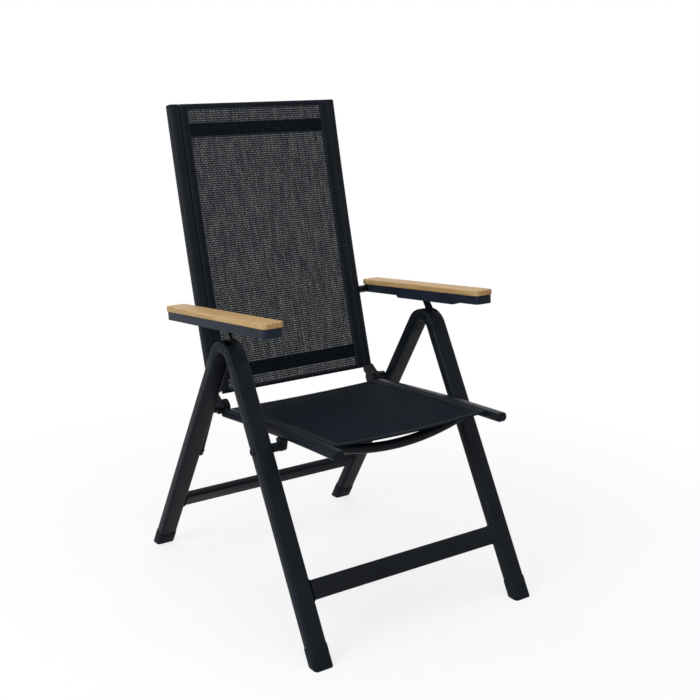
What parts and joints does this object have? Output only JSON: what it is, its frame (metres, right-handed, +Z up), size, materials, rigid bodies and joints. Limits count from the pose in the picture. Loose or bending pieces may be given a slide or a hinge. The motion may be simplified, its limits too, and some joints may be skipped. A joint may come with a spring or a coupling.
{
  "type": "folding patio armchair",
  "caption": "Folding outdoor armchair with a high sling back that reclines, a sling seat, wooden arm slats and crossed tube legs.",
  "frame": {"origin": "on the floor, in the chair's middle plane, midway between the front and rear feet", "axes": "+X towards the sitter's left, -Y the way the chair faces, +Z up"},
  "size_m": [0.6, 0.765, 1.0864],
  "materials": {
    "frame_tube": "near-black satin powder coat",
    "armrest_channel": "dark blue-grey satin powder coat",
    "casting": "near-black satin powder coat",
    "moulded_plastic": "black, fine texture",
    "steel": "black zinc",
    "wood": "oiled acacia, light brown",
    "sling_fabric": "black and grey woven sling mesh"
  },
  "bodies": {
    "front_frame": {"apex_bolt_left": "steel", "apex_bolt_right": "steel", "front_foot_left": "moulded_plastic", "front_foot_right": "moulded_plastic", "front_leg_left": "frame_tube", "front_leg_right": "frame_tube", "front_leg_top_left": "moulded_plastic", "front_leg_top_right": "moulded_plastic", "front_stretcher": "frame_tube", "seat_bolt_left": "steel", "seat_bolt_right": "steel", "seat_spacer_left": "moulded_plastic", "seat_spacer_right": "moulded_plastic"},
    "rear_frame": {"apex_elbow_left": "moulded_plastic", "apex_elbow_right": "moulded_plastic", "lock_bar_left": "steel", "lock_bar_right": "steel", "rack_pin_left": "steel", "rack_pin_right": "steel", "rear_foot_left": "moulded_plastic", "rear_foot_right": "moulded_plastic", "rear_leg_left": "frame_tube", "rear_leg_right": "frame_tube", "rear_stretcher": "frame_tube"},
    "seat": {"seat_bow": "frame_tube", "seat_bracket_left": "casting", "seat_bracket_right": "casting", "seat_hinge_left": "casting", "seat_hinge_right": "casting", "seat_rail_cap_left": "moulded_plastic", "seat_rail_cap_right": "moulded_plastic", "seat_rail_left": "frame_tube", "seat_rail_right": "frame_tube", "seat_rear_bar": "frame_tube", "seat_sling": "sling_fabric"},
    "back": {"back_bottom_bar": "frame_tube", "back_hinge_left": "casting", "back_hinge_right": "casting", "back_rail_cap_left": "moulded_plastic", "back_rail_cap_right": "moulded_plastic", "back_rail_left": "frame_tube", "back_rail_right": "frame_tube", "back_sling": "sling_fabric", "back_top_bar": "frame_tube"},
    "hinge_knuckles": {"hinge_knuckle_left": "steel", "hinge_knuckle_right": "steel"},
    "stay_left_link": {"stay_left": "steel", "stay_pin_left": "steel"},
    "stay_right_link": {"stay_pin_right": "steel", "stay_right": "steel"},
    "arm_hub_left_part": {"arm_hub_left": "steel"},
    "arm_hub_right_part": {"arm_hub_right": "steel"},
    "armrest_left": {"armrest_channel_left": "armrest_channel", "armrest_rack_left": "moulded_plastic", "armrest_slat_left": "wood"},
    "armrest_right": {"armrest_channel_right": "armrest_channel", "armrest_rack_right": "moulded_plastic", "armrest_slat_right": "wood"}
  },
  "joints": [
    {"name": "fold", "type": "hinge", "parent": "front_frame", "child": "rear_frame", "pos_m": [0, -0.027, 0.593], "axis": [-1, 0, 0], "range_deg": [0, 60]},
    {"name": "seat_fold", "type": "hinge", "parent": "front_frame", "child": "seat", "pos_m": [0, -0.14047, 0.39863], "axis": [-1, 0, 0], "range_deg": [0, 114.63]},
    {"name": "knuckle_fold", "type": "hinge", "parent": "seat", "child": "hinge_knuckles", "pos_m": [0, 0.135, 0.411], "axis": [-1, 0, 0], "range_deg": [-97.62, 0]},
    {"name": "recline", "type": "hinge", "parent": "hinge_knuckles", "child": "back", "pos_m": [0, 0.135, 0.411], "axis": [-1, 0, 0], "range_deg": [0, 35]},
    {"name": "stay_fold_left", "type": "hinge", "parent": "seat", "child": "stay_left_link", "pos_m": [0, 0.135, 0.411], "axis": [-1, 0, 0], "range_deg": [0, 123.34]},
    {"name": "arm_hub_turn_left", "type": "hinge", "parent": "back", "child": "arm_hub_left_part", "pos_m": [0, 0.22263, 0.6185], "axis": [-1, 0, 0], "range_deg": [-21.76, 0]},
    {"name": "arm_fold_left", "type": "hinge", "parent": "arm_hub_left_part", "child": "armrest_left", "pos_m": [0, 0.22263, 0.6185], "axis": [-1, 0, 0], "range_deg": [0, 113.05]},
    {"name": "stay_fold_right", "type": "hinge", "parent": "seat", "child": "stay_right_link", "pos_m": [0, 0.135, 0.411], "axis": [-1, 0, 0], "range_deg": [0, 123.34]},
    {"name": "arm_hub_turn_right", "type": "hinge", "parent": "back", "child": "arm_hub_right_part", "pos_m": [0, 0.22263, 0.6185], "axis": [-1, 0, 0], "range_deg": [-21.76, 0]},
    {"name": "arm_fold_right", "type": "hinge", "parent": "arm_hub_right_part", "child": "armrest_right", "pos_m": [0, 0.22263, 0.6185], "axis": [-1, 0, 0], "range_deg": [0, 113.05]}
  ],
  "couplings": [
    {"joint": "seat_fold", "follows": "fold", "ratio": 1.9095},
    {"joint": "knuckle_fold", "follows": "fold", "ratio": -1.6261},
    {"joint": "stay_fold_left", "follows": "fold", "ratio": 2.0547},
    {"joint": "arm_hub_turn_left", "follows": "recline", "ratio": -0.62143},
    {"joint": "arm_fold_left", "follows": "fold", "ratio": 1.8833},
    {"joint": "stay_fold_right", "follows": "fold", "ratio": 2.0547},
    {"joint": "arm_hub_turn_right", "follows": "recline", "ratio": -0.62143},
    {"joint": "arm_fold_right", "follows": "fold", "ratio": 1.8833}
  ]
}
